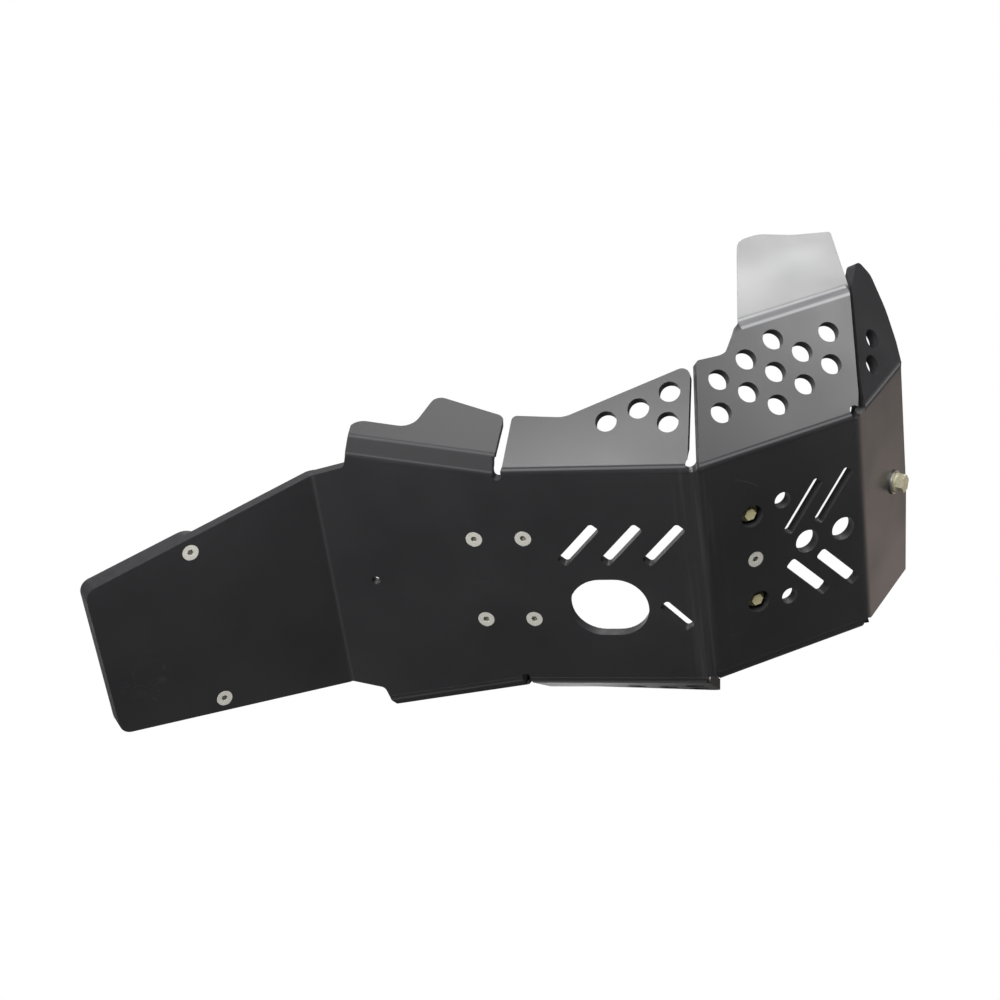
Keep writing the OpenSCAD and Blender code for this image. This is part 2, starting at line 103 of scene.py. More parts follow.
# Driving dimensions of the sheet, in millimetres and degrees.
TAIL_BEND = -270.0
TAIL_RISE = 37.0
TAIL_HALF = 89.0
FRONT_RISE = 34.0
FRONT_LENGTH = 130.0
NOSE_RISE = 36.5
BELLY_HALF = 90.0
FRONT_HALF = 88.5
NOSE_HALF = 86.5
WING_ANGLE = 44.5
WING_BEND = 87.5
FLAP_ANGLE = 35.0
REAR_FOLD_ANGLE = 40.0
REAR_STRIP = 12.6

# Where the fold lines start and end along their panels, and for a rear wing also across the belly,
# in millimetres as all that follows.
BELLY_FOLD = (-133.5, -3.5)
FRONT_FOLD = (4.2, 128.6)
HORN_FOLD = (12.0, 80.5)
FLAP_BEND = (75.0, 163.0)
REAR_WING_FOLD = ((-140.0, 88.5), (-243.0, 106.7))
# How far the dull flank of a crisp fold reaches, and how far the flap's two painted highlight lines
# lie from its corner.
FOLD_REACH = 2.8
FLAP_LINE_OFFSET = 3.6

# Places along and across a panel: the front panel's curved scratch, and the tail's scribbled corner.
SCRATCH_PLACES = ((31.0, -69.0), (40.5, -64.0), (49.0, -57.5))
SCRIBBLED_PLACES = ((-158.0, 14.0), (-137.0, 34.0))

# Heights above a panel's outer face where the threads start.
BELLY_THREAD = 12.0
TAIL_THREAD = 16.0
FRONT_THREAD = 12.0
NOSE_THREAD = 21.5
BRACKET_THREAD = 13.5
# First and last height of the hexagon recess in a countersunk head, which carries painted shade.
HEAD_RECESS = (0.35, 2.9)

# A noise passes through its middle value and hardly leaves this range.
NOISE_MIDDLE = 0.5
NOISE_RANGE = (0.3, 0.7)

# Numbers of a Mix node's sockets: both inputs and the output, for colours and for plain numbers.
COLOUR_FIRST, COLOUR_SECOND, COLOUR_OUT = 6, 7, 2
NUMBER_FIRST, NUMBER_SECOND, NUMBER_OUT = 2, 3, 0

# Nearness to a fold line at which its dull flank and its pale core start and are whole.
FLANK = (0.05, 0.4)
CORE = (0.5, 0.85)


class Panel(Enum):
    """A panel of the spine: its rise from the belly, and where its outer face starts.

    The rise is in degrees. The start is given in millimetres ahead of the front bend and above the
    belly's outer face.
    """

    BELLY = (0.0, 0.0, 0.0)
    FRONT = (FRONT_RISE, 0.0, 0.0)
    NOSE = (
        FRONT_RISE + NOSE_RISE,
        FRONT_LENGTH * math.cos(math.radians(FRONT_RISE)),
        FRONT_LENGTH * math.sin(math.radians(FRONT_RISE)),
    )
    TAIL = (TAIL_RISE, TAIL_BEND, 0.0)

    @property
    def forward(self) -> Vector:
        """The unit vector that runs forward along the panel."""
        lean = math.radians(self.value[0] - REST_PITCH)
        return Vector((math.cos(lean), 0.0, math.sin(lean)))

    @property
    def normal(self) -> Vector:
        """The panel's inward unit normal."""
        return self.forward.cross(Vector((0.0, 1.0, 0.0)))

    def place(self, along: float, across: float, above: float = 0.0) -> Vector:
        """Finds a place over the panel.

        Args:
            along: Distance forward from the panel's start, in millimetres.
            across: Distance to the left of the middle, in millimetres.
            above: Height above the outer face, in millimetres.

        Returns:
            The place in metres, in the part's frame.
        """
        start = Vector((self.value[1] + ORIGIN_BEHIND_BEND, across, self.value[2] - ORIGIN_ABOVE_BELLY))
        start.rotate(Euler((0.0, math.radians(REST_PITCH), 0.0)))
        return (start + self.forward * along + self.normal * above) * MM

    def level(self, above: float) -> float:
        """Finds how far a height above the outer face lies from the origin along the normal.

        Args:
            above: Height above the outer face, in millimetres.

        Returns:
            The distance in metres.
        """
        return self.place(0.0, 0.0, above).dot(self.normal)


def direction(bearing: float, rise: float) -> Vector:
    """Gives the unit vector from the part towards something in the studio.

    Args:
        bearing: Degrees from the part's right side towards its front.
        rise: Degrees above the floor's level.

    Returns:
        The unit vector.
    """
    turn, up = math.radians(bearing), math.radians(rise)
    return Vector((math.sin(turn) * math.cos(up), -math.cos(turn) * math.cos(up), math.sin(up)))


@dataclass(frozen=True)
class Softbox:
    """A square soft light that faces the part, with its lengths in metres and its strength in watts."""

    bearing: float
    rise: float
    away: float
    width: float
    watts: float
    colour: str = "#ffffff"


class Light(Enum):
    """The lights of the studio, each named for what its glow falls on.

    Each line gives the bearing, the rise, the distance, the width and the strength.
    """

    SIDE_WINGS = Softbox(-15.0, -30.0, 1.8, 0.8, 37.0)
    REAR_WINGS = Softbox(-75.0, -30.0, 1.8, 0.8, 14.0)
    REAR_FLAPS = Softbox(6.5, 16.0, 1.8, 0.8, 6.0)
    FRONT_WING = Softbox(45.0, -5.0, 1.8, 0.8, 23.0)
    UPPER_FLAP = Softbox(15.0, 45.0, 1.8, 0.8, 23.0)
    NOSE = Softbox(123.6, 18.3, 1.8, 0.9, 2.0, "#ffe9dc")
    BELLY = Softbox(180.0, -78.5, 2.0, 1.4, 3.0)
    INSIDE = Softbox(-146.0, 68.8, 1.9, 2.0, 22.0)


class Edge(Enum):
    """How an edge was finished, as the width of its rounding in millimetres."""

    ROUTED = 0.55
    MACHINED = 0.4
    SHEARED = 0.3
    ROLLED = 0.18


def srgb(code: str) -> Colour:
    """Turns an sRGB hex code into a linear colour.

    Args:
        code: Six hex digits after a hash sign.

    Returns:
        Linear red, green and blue, and an alpha of one.
    """
    parts = [int(code[i : i + 2], 16) / 255 for i in (1, 3, 5)]
    line = [c / 12.92 if c <= 0.04045 else ((c + 0.055) / 1.055) ** 2.4 for c in parts]
    return (line[0], line[1], line[2], 1.0)


def per_mm(size: float) -> float:
    """Gives a texture scale from the size of one grain.

    Args:
        size: Size of a grain in millimetres.

    Returns:
        Scale for a texture that reads object coordinates in metres.
    """
    return 1.0 / (size * MM)


def add_node(
    tree: Tree, kind: str, inputs: dict[str | int, object] | None = None, **settings: object
) -> Node:
    """Adds a node with its settings and its links.

    Args:
        tree: Node tree that receives the node.
        kind: Blender's name of the node type.
        inputs: What goes into the inputs, by name or number. A socket is linked, and the rest are values.
        settings: The node's own properties by name.

    Returns:
        The new node.
    """
    node = tree.nodes.new(kind)
    for name, value in settings.items():
        setattr(node, name, value)
    for name, value in (inputs or {}).items():
        if isinstance(value, Socket):
            tree.links.new(value, node.inputs[name])
        else:
            node.inputs[name].default_value = value
    return node


def lay_over(tree: Tree, target: Socket, share: Socket, value: float | Colour) -> None:
    """Mixes a number or a colour over what already goes into a shader's input.

    Args:
        tree: The material's node tree.
        target: The shader's input.
        share: The socket of the share that the new value takes.
        value: The number or the colour.
    """
    if isinstance(value, tuple):
        kind, first, second, out = "RGBA", COLOUR_FIRST, COLOUR_SECOND, COLOUR_OUT
    else:
        kind, first, second, out = "FLOAT", NUMBER_FIRST, NUMBER_SECOND, NUMBER_OUT
    inputs = {"Factor": share, first: target.links[0].from_socket, second: value}
    mix = add_node(tree, "ShaderNodeMix", inputs, data_type=kind)
    tree.links.new(mix.outputs[out], target)


def smooth_share(tree: Tree, value: Socket, low: float, high: float, whole: float = 1.0) -> Socket:
    """Turns a measure into a share that starts and ends softly.

    Args:
        tree: The material's node tree.
        value: The socket of the measure.
        low: Measure at which the share is zero.
        high: Measure from which the share is whole.
        whole: The whole share.

    Returns:
        The socket of the share.
    """
    inputs = {"Value": value, "From Min": low, "From Max": high, "To Min": 0.0, "To Max": whole}
    return add_node(tree, "ShaderNodeMapRange", inputs, interpolation_type="SMOOTHSTEP").outputs["Result"]


@dataclass(frozen=True)
class Mark:
    """A straight mark in the sheet, with its ends in metres and its reach in millimetres."""

    start: Vector
    end: Vector
    reach: float

    def nearness(self, tree: Tree, point: Socket) -> Socket:
        """Adds the nodes that measure how near a point lies to the mark.

        Args:
            tree: The material's node tree.
            point: The socket of the point, in metres.

        Returns:
            The socket of the nearness: one on the mark, and zero at its reach and past its ends.
        """
        run = self.end - self.start
        way, half = run.normalized(), run.length / 2
        offset = add_node(tree, "ShaderNodeVectorMath", {0: point, 1: self.start}, operation="SUBTRACT")
        offset = offset.outputs["Vector"]
        across = add_node(tree, "ShaderNodeVectorMath", {0: offset, 1: way}, operation="CROSS_PRODUCT")
        across = across.outputs["Vector"]
        distance = add_node(tree, "ShaderNodeVectorMath", {0: across}, operation="LENGTH").outputs["Value"]
        inputs = {"Value": distance, "From Max": self.reach * MM, "To Min": 1.0, "To Max": 0.0}
        near = add_node(tree, "ShaderNodeMapRange", inputs)
        along = add_node(tree, "ShaderNodeVectorMath", {0: offset, 1: way}, operation="DOT_PRODUCT")
        inputs = {0: along.outputs["Value"], 1: half, 2: half}
        inside = add_node(tree, "ShaderNodeMath", inputs, operation="COMPARE")
        inputs = {0: near.outputs["Result"], 1: inside.outputs["Value"]}
        return add_node(tree, "ShaderNodeMath", inputs, operation="MULTIPLY").outputs["Value"]


def sloping(angle: float, length: float) -> tuple[float, float]:
    """Gives the width and the height of a slope.

    Args:
        angle: The slope's angle in degrees.
        length: The slope's length.

    Returns:
        The width and the height.
    """
    return length * math.cos(math.radians(angle)), length * math.sin(math.radians(angle))


def on_both_sides(
    panel: Panel, start: tuple[float, ...], end: tuple[float, ...], reach: float
) -> tuple[Mark, ...]:
    """Makes a mark on each side of a panel.

    Args:
        panel: The panel.
        start: Where the mark starts: along, across and, where it isn't zero, above, in millimetres.
        end: Where the mark ends, in the same way.
        reach: The mark's reach in millimetres.

    Returns:
        The right mark and the left one.
    """
    return tuple(
        Mark(
            panel.place(start[0], side * start[1], *start[2:]),
            panel.place(end[0], side * end[1], *end[2:]),
            reach,
        )
        for side in (-1, 1)
    )


def side_folds(panel: Panel, ends: tuple[float, float], half: float, reach: float) -> tuple[Mark, ...]:
    """Makes the marks along the two side folds of a panel.

    Args:
        panel: The panel.
        ends: Where the folds start and end along the panel, in millimetres.
        half: Half the width between the folds, in millimetres.
        reach: The marks' reach in millimetres.

    Returns:
        The right mark and the left one.
    """
    return on_both_sides(panel, (ends[0], half), (ends[1], half), reach)


def rear_wing_lines(width: float, reach: float) -> tuple[Mark, ...]:
    """Makes the marks that run along the rear wings' strips at a distance from the first fold.

    Args:
        width: The distance in millimetres, up the strip.
        reach: The marks' reach in millimetres.

    Returns:
        The right mark and the left one.
    """
    start, end = (Vector(place) for place in REAR_WING_FOLD)
    aside, above = sloping(REAR_FOLD_ANGLE, width)
    run = end - start
    out = Vector((run.y, -run.x)).normalized() * aside
    return on_both_sides(Panel.BELLY, (*(start + out), above), (*(end + out), above), reach)


def flap_line(offset: float, reach: float) -> Mark:
    """Makes a mark along the bend of the right wing's upper flap.

    Args:
        offset: Distance from the bend's corner in millimetres, below zero on the wing.
        reach: The mark's reach in millimetres.

    Returns:
        The mark.
    """
    aside, above = sloping(WING_ANGLE, WING_BEND + min(offset, 0.0))
    more_aside, more_above = sloping(WING_ANGLE + FLAP_ANGLE, max(offset, 0.0))
    across, height = -FRONT_HALF - aside - more_aside, above + more_above
    start, end = (Panel.FRONT.place(along, across, height) for along in FLAP_BEND)
    return Mark(start, end, reach)


@dataclass(frozen=True)
class Layer:
    """Something that is drawn over the sheet's plain finish, with a share of a pale colour."""

    pale: str
    share: float

    def draw(self, tree: Tree, shader: Node, point: Socket) -> None:
        """Draws the layer.

        Args:
            tree: The material's node tree.
            shader: The principled shader.
            point: The socket of the point, in metres.
        """
        raise NotImplementedError


@dataclass(frozen=True)
class FoldLines(Layer):
    """Lines of one kind: a pale core between flanks that may be duller than the sheet."""

    marks: tuple[Mark, ...]
    dull: float | None = None

    def draw(self, tree: Tree, shader: Node, point: Socket) -> None:
        """Draws the dull flanks and then the pale cores.

        Args:
            tree: The material's node tree.
            shader: The principled shader.
            point: The socket of the point, in metres.
        """
        near = self.marks[0].nearness(tree, point)
        for mark in self.marks[1:]:
            inputs = {0: near, 1: mark.nearness(tree, point)}
            near = add_node(tree, "ShaderNodeMath", inputs, operation="MAXIMUM").outputs["Value"]
        if self.dull is not None:
            lay_over(tree, shader.inputs["Roughness"], smooth_share(tree, near, *FLANK), self.dull)
        if self.share > 0.0:
            core = smooth_share(tree, near, *CORE, self.share)
            lay_over(tree, shader.inputs["Base Color"], core, srgb(self.pale))


@dataclass(frozen=True)
class Streaks(Layer):
    """Soft pale streaks across the part along a wide bend."""

    bend: Mark
    width_mm: float = 3.5
    squeeze: float = 0.03
    fade: tuple[float, float] = (0.0, 0.6)
    crests: tuple[float, float] = (0.45, 0.72)

    def draw(self, tree: Tree, shader: Node, point: Socket) -> None:
        """Draws the streaks as the crests of a long drawn noise.

        Args:
            tree: The material's node tree.
            shader: The principled shader.
            point: The socket of the point, in metres.
        """
        inputs = {"Vector": point, "Scale": (1.0, self.squeeze, 1.0)}
        long = add_node(tree, "ShaderNodeMapping", inputs).outputs["Vector"]
        inputs = {"Vector": long, "Scale": per_mm(self.width_mm), "Detail": 3.0}
        noise = add_node(tree, "ShaderNodeTexNoise", inputs).outputs["Fac"]
        inputs = {
            0: smooth_share(tree, self.bend.nearness(tree, point), *self.fade),
            1: smooth_share(tree, noise, *self.crests, self.share),
        }
        amount = add_node(tree, "ShaderNodeMath", inputs, operation="MULTIPLY").outputs["Value"]
        lay_over(tree, shader.inputs["Base Color"], amount, srgb(self.pale))


@dataclass(frozen=True)
class Scribbles(Layer):
    """Thin wandering scratches round a mark."""

    middle: Mark
    loop_mm: float = 11.0
    wander: float = 1.2
    thickness: float = 0.02
    fade: tuple[float, float] = (0.05, 0.7)

    def draw(self, tree: Tree, shader: Node, point: Socket) -> None:
        """Draws the scratches where a noise passes through its middle value.

        Args:
            tree: The material's node tree.
            shader: The principled shader.
            point: The socket of the point, in metres.
        """
        inputs = {"Vector": point, "Scale": per_mm(self.loop_mm), "Detail": 2.5, "Distortion": self.wander}
        noise = add_node(tree, "ShaderNodeTexNoise", inputs).outputs["Fac"]
        level = add_node(tree, "ShaderNodeMath", {0: noise, 1: NOISE_MIDDLE}, operation="SUBTRACT")
        away = add_node(tree, "ShaderNodeMath", {0: level.outputs["Value"]}, operation="ABSOLUTE")
        inputs = {
            "Value": away.outputs["Value"],
            "From Max": self.thickness,
            "To Min": self.share,
            "To Max": 0.0,
        }
        line = add_node(tree, "ShaderNodeMapRange", inputs).outputs["Result"]
        inputs = {0: smooth_share(tree, self.middle.nearness(tree, point), *self.fade), 1: line}
        amount = add_node(tree, "ShaderNodeMath", inputs, operation="MULTIPLY").outputs["Value"]
        lay_over(tree, shader.inputs["Base Color"], amount, srgb(self.pale))


# Crisp folds of the side wings, of the front wings and of the horn. Each has a pale core, a painted
# highlight along the fold, between flanks that the bar leaves dull.
SIDE_FOLD_HIGHLIGHTS = FoldLines(
    pale="#4c4c4e",
    share=0.9,
    marks=side_folds(Panel.BELLY, BELLY_FOLD, BELLY_HALF, FOLD_REACH)
    + side_folds(Panel.FRONT, FRONT_FOLD, FRONT_HALF, FOLD_REACH)
    + side_folds(Panel.NOSE, HORN_FOLD, NOSE_HALF, FOLD_REACH)[:1],
    dull=0.85,
)
# The strip between the two folds of a rear wing is dulled by the bar.
PRESSED_STRIPS = FoldLines(
    pale="#1b1b1d", share=0.0, marks=rear_wing_lines(REAR_STRIP / 2, reach=7.8), dull=0.9
)
# The first fold of a rear wing carries a thin painted highlight, and the second a soft wide one.
REAR_FIRST_FOLD_HIGHLIGHTS = FoldLines(pale="#3c3c3e", share=0.8, marks=rear_wing_lines(0.0, reach=2.2), dull=0.85)
REAR_SECOND_FOLD_HIGHLIGHTS = FoldLines(pale="#2c2c2e", share=0.6, marks=rear_wing_lines(REAR_STRIP, reach=3.6))
# The bend of the upper flap carries a pale painted highlight all over, with two paler painted
# highlight lines in it.
FLAP_HIGHLIGHT_BAND = FoldLines(pale="#5c5c5e", share=0.75, marks=(flap_line(0.0, reach=11.0),))
FLAP_HIGHLIGHT_LINES = FoldLines(
    pale="#828284",
    share=0.6,
    marks=(flap_line(-FLAP_LINE_OFFSET, reach=3.6), flap_line(FLAP_LINE_OFFSET, reach=3.6)),
)
# The soft pale crease where the tail starts.
TAIL_CREASE = FoldLines(
    pale="#303032",
    share=0.5,
    marks=(Mark(Panel.TAIL.place(0.0, -TAIL_HALF), Panel.TAIL.place(0.0, TAIL_HALF), reach=4.5),),
)
# One curved scratch on the front panel, in two straight marks.
SCRATCH_START, SCRATCH_BEND, SCRATCH_END = (Panel.FRONT.place(*place) for place in SCRATCH_PLACES)
SCRATCH = FoldLines(
    pale="#414143",
    share=0.8,
    marks=(Mark(SCRATCH_START, SCRATCH_BEND, reach=0.6), Mark(SCRATCH_BEND, SCRATCH_END, reach=0.6)),
)
# The wide bend ahead of the belly.
BEND_STREAKS = Streaks(
    pale="#3a3a3b",
    share=0.5,
    bend=Mark(Panel.FRONT.place(0.0, -FRONT_HALF), Panel.FRONT.place(0.0, FRONT_HALF), reach=22.0),
)
# The corner of the tail that stones have scribbled on.
SCRIBBLED_CORNER = Scribbles(
    pale="#4a4a4b",
    share=0.4,
    middle=Mark(*(Panel.TAIL.place(*place) for place in SCRIBBLED_PLACES), reach=26.0),
)


@dataclass(frozen=True)
class Finish:
    """What every finish shares: a colour that wanders a little, a roughness range and a grain."""

    name: str
    colour: str
    second_colour: str
    roughness: tuple[float, float]
    patch_mm: float
    grain_mm: float = 1.0
    grain_height: float = 0.01
    metallic: float = 0.0
    specular: float = 0.5
    stretch: tuple[float, float, float] = (1.0, 1.0, 1.0)

    def build(self) -> bpy.types.Material:
        """Makes the material.

        Returns:
            The finished material.
        """
        material = bpy.data.materials.new(self.name)
        material.use_nodes = True
        tree = material.node_tree
        tree.nodes.clear()
        inputs = {"Metallic": self.metallic, "Specular IOR Level": self.specular}
        shader = add_node(tree, "ShaderNodeBsdfPrincipled", inputs)
        add_node(tree, "ShaderNodeOutputMaterial", {"Surface": shader.outputs["BSDF"]})
        inputs = {"Vector": add_node(tree, "ShaderNodeTexCoord").outputs["Object"], "Scale": self.stretch}
        place = add_node(tree, "ShaderNodeMapping", inputs).outputs["Vector"]
        self.weave(tree, shader, place)
        self.relief(tree, shader, place)
        log.info("finish %s", self.name)
        return material

    def weave(self, tree: Tree, shader: Node, place: Socket) -> None:
        """Joins the patchy colour and roughness to the shader.

        Args:
            tree: The material's node tree.
            shader: The principled shader.
            place: The socket of the texture coordinates.
        """
        inputs = {"Vector": place, "Scale": per_mm(self.patch_mm), "Detail": 2.0}
        patch = add_node(tree, "ShaderNodeTexNoise", inputs).outputs["Fac"]
        inputs = {
            "Factor": patch,
            COLOUR_FIRST: srgb(self.colour),
            COLOUR_SECOND: srgb(self.second_colour),
        }
        blend = add_node(tree, "ShaderNodeMix", inputs, data_type="RGBA")
        tree.links.new(blend.outputs[COLOUR_OUT], shader.inputs["Base Color"])
        low, high = NOISE_RANGE
        smooth, rough = self.roughness
        inputs = {"Value": patch, "From Min": low, "From Max": high, "To Min": smooth, "To Max": rough}
        spread = add_node(tree, "ShaderNodeMapRange", inputs)
        tree.links.new(spread.outputs["Result"], shader.inputs["Roughness"])

    def relief(self, tree: Tree, shader: Node, place: Socket) -> None:
        """Joins the fine grain to the shader's normal.

        Args:
            tree: The material's node tree.
            shader: The principled shader.
            place: The socket of the texture coordinates.
        """
        inputs = {"Vector": place, "Scale": per_mm(self.grain_mm), "Detail": 3.0}
        grain = add_node(tree, "ShaderNodeTexNoise", inputs).outputs["Fac"]
        inputs = {"Height": grain, "Strength": 0.5, "Distance": self.grain_height * MM}
        bump = add_node(tree, "ShaderNodeBump", inputs)
        tree.links.new(bump.outputs["Normal"], shader.inputs["Normal"])


@dataclass(frozen=True)
class SheetPlastic(Finish):
    """Extruded black polyethylene: satin, with fine pale scuffs and the layers drawn over it, among them
    painted highlights along its folds.
    """

    scuff_colour: str = "#5a5a5c"
    scuff_mm: float = 9.0
    scuff_share: float = 0.25
    scuff_stretch: tuple[float, float, float] = (0.12, 1.6, 0.4)
    scuff_yaw: float = 0.22
    scuff_crests: tuple[float, float] = (0.66, 0.8)
    layers: tuple[Layer, ...] = ()

    def weave(self, tree: Tree, shader: Node, place: Socket) -> None:
        """Adds scuffs along the ride direction and the layers to the patchy colour.

        Args:
            tree: The material's node tree.
            shader: The principled shader.
            place: The socket of the texture coordinates.
        """
        super().weave(tree, shader, place)
        inputs = {"Vector": place, "Scale": self.scuff_stretch, "Rotation": (0.0, 0.0, self.scuff_yaw)}
        along = add_node(tree, "ShaderNodeMapping", inputs).outputs["Vector"]
        inputs = {"Vector": along, "Scale": per_mm(self.scuff_mm), "Detail": 6.0, "Roughness": 0.72}
        noise = add_node(tree, "ShaderNodeTexNoise", inputs).outputs["Fac"]
        low, high = self.scuff_crests
        inputs = {"Value": noise, "From Min": low, "From Max": high, "To Max": self.scuff_share}
        scuff = add_node(tree, "ShaderNodeMapRange", inputs).outputs["Result"]
        lay_over(tree, shader.inputs["Base Color"], scuff, srgb(self.scuff_colour))
        point = add_node(tree, "ShaderNodeTexCoord").outputs["Object"]
        for layer in self.layers:
            layer.draw(tree, shader, point)


@dataclass(frozen=True)
class ThreadedMetal(Finish):
    """Plated steel whose shank carries a thread beyond a given height along its axis.

    The heights are in metres. Between the first and the last height of a recess the colour is
    darker, as painted shade in the recess.
    """

    axis: tuple[float, float, float] = (0.0, 0.0, 1.0)
    start: float = 0.0
    pitch_mm: float = 1.0
    depth_share: float = 0.16
    recess: tuple[float, float] | None = None
    # A darker colour in the recess, as painted shade.
    recess_shade_colour: str = "#8c8a82"

    def height(self, tree: Tree) -> Socket:
        """Adds the nodes that measure the height along the axis.

        Args:
            tree: The material's node tree.

        Returns:
            The socket of the height in metres.
        """
        inputs = {0: add_node(tree, "ShaderNodeTexCoord").outputs["Object"], 1: self.axis}
        return add_node(tree, "ShaderNodeVectorMath", inputs, operation="DOT_PRODUCT").outputs["Value"]

    def weave(self, tree: Tree, shader: Node, place: Socket) -> None:
        """Adds the recess's painted shade to the patchy colour.

        Args:
            tree: The material's node tree.
            shader: The principled shader.
            place: The socket of the texture coordinates.
        """
        super().weave(tree, shader, place)
        if self.recess is None:
            return
        low, high = self.recess
        inputs = {0: self.height(tree), 1: (low + high) / 2, 2: (high - low) / 2}
        inside = add_node(tree, "ShaderNodeMath", inputs, operation="COMPARE").outputs["Value"]
        lay_over(tree, shader.inputs["Base Color"], inside, srgb(self.recess_shade_colour))

    def relief(self, tree: Tree, shader: Node, place: Socket) -> None:
        """Cuts the thread with a wave along the axis, in place of a grain.

        Args:
            tree: The material's node tree.
            shader: The principled shader.
            place: The socket of the texture coordinates.
        """
        height = self.height(tree)
        inputs = {0: height, 1: 2 * math.pi / (self.pitch_mm * MM)}
        turns = add_node(tree, "ShaderNodeMath", inputs, operation="MULTIPLY").outputs["Value"]
        wave = add_node(tree, "ShaderNodeMath", {0: turns}, operation="SINE").outputs["Value"]
        inputs = {0: height, 1: self.start}
        beyond = add_node(tree, "ShaderNodeMath", inputs, operation="GREATER_THAN").outputs["Value"]
        cut = add_node(tree, "ShaderNodeMath", {0: wave, 1: beyond}, operation="MULTIPLY").outputs["Value"]
        inputs = {"Height": cut, "Strength": 1.0, "Distance": self.depth_share * self.pitch_mm * MM}
        bump = add_node(tree, "ShaderNodeBump", inputs)
        tree.links.new(bump.outputs["Normal"], shader.inputs["Normal"])


# Extruded high-density polyethylene sheet: satin black with wide soft reflections. Its real grain is
# finer, and is drawn 1.2 mm wide so that it shows.
PLATE_PLASTIC = SheetPlastic(
    "black_polyethylene",
    "#1b1b1d",
    "#232325",
    roughness=(0.3, 0.4),
    patch_mm=60.0,
    grain_mm=1.2,
    grain_height=0.002,
    layers=(
        BEND_STREAKS,
        SCRIBBLED_CORNER,
        PRESSED_STRIPS,
        REAR_FIRST_FOLD_HIGHLIGHTS,
        REAR_SECOND_FOLD_HIGHLIGHTS,
        SIDE_FOLD_HIGHLIGHTS,
        FLAP_HIGHLIGHT_BAND,
        FLAP_HIGHLIGHT_LINES,
        TAIL_CREASE,
        SCRATCH,
    ),
)
# The same polyethylene where a router cut it: paler and duller, with fine tool marks.
CUT_EDGE = Finish(
    "routed_polyethylene_edge",
    "#202022",
    "#2b2b2d",
    roughness=(0.5, 0.66),
    patch_mm=5.0,
    grain_mm=0.5,
    grain_height=0.05,
    specular=0.25,
)
# The doubler is cut from the same sheet. It lies inside, so it is less worn and less polished.
DOUBLER_PLASTIC = SheetPlastic(
    "black_polyethylene_doubler",
    "#1d1d1f",
    "#252527",
    roughness=(0.4, 0.5),
    patch_mm=45.0,
    grain_mm=1.2,
    grain_height=0.002,
    scuff_share=0.1,
)
# Aluminium 6061, milled: pale grey and softly shiny, with fine tool marks across the part.
CLAMP_ALUMINIUM = Finish(
    "milled_aluminium",
    "#b9bbbe",
    "#a9abae",
    roughness=(0.28, 0.42),
    patch_mm=7.0,
    grain_mm=0.5,
    grain_height=0.02,
    metallic=1.0,
    stretch=(1.0, 0.08, 1.0),
)
# Mild steel with a satin black powder coat, which has a fine orange peel.
BRACKET_PAINT = Finish(
    "black_powder_coat",
    "#1c1d1f",
    "#242527",
    roughness=(0.42, 0.55),
    patch_mm=20.0,
    grain_mm=0.9,
    grain_height=0.06,
)
# Dull zinc plate of the nuts and the washer: grey, with small cloudy patches.
NUT_ZINC = Finish(
    "dull_zinc_plate",
    "#b5b3ac",
    "#a19f98",
    roughness=(0.36, 0.5),
    patch_mm=4.0,
    grain_mm=0.3,
    grain_height=0.015,
    metallic=1.0,
)


def bright_zinc(name: str, panel: Panel, thread: float) -> ThreadedMetal:
    """Describes bright zinc plate on a countersunk screw that stands along a panel's normal.

    The plate is nearly white and softly shiny. A dull film on it scatters light, so it is only
    partly metallic.

    Args:
        name: Name of the material.
        panel: Panel that the screw goes through.
        thread: Height above the panel's outer face where the thread starts, in millimetres.

    Returns:
        The finish.
    """
    return ThreadedMetal(
        name,
        "#dddbd3",
        "#cccac1",
        roughness=(0.3, 0.45),
        patch_mm=3.0,
        metallic=0.45,
        axis=tuple(panel.normal),
        start=panel.level(thread),
        recess=tuple(panel.level(height) for height in HEAD_RECESS),
    )


# Chromate zinc plate of the nose bolt, worn and dusty: duller and browner, and only partly metallic.
NOSE_ZINC = ThreadedMetal(
    "worn_chromate_zinc",
    "#b0ab94",
    "#9c9780",
    roughness=(0.4, 0.55),
    patch_mm=3.0,
    metallic=0.45,
    axis=tuple(Panel.NOSE.normal),
    start=Panel.NOSE.level(NOSE_THREAD),
    pitch_mm=1.25,
)
# Yellow chromate zinc plate of the bracket bolts: straw yellow and fairly shiny. The chromate film
# makes it only partly metallic.
BRACKET_ZINC = ThreadedMetal(
    "yellow_chromate_zinc",
    "#e4dcb4",
    "#d2c998",
    roughness=(0.26, 0.4),
    patch_mm=3.0,
    metallic=0.45,
    axis=tuple(Panel.FRONT.normal),
    start=Panel.FRONT.level(BRACKET_THREAD),
)


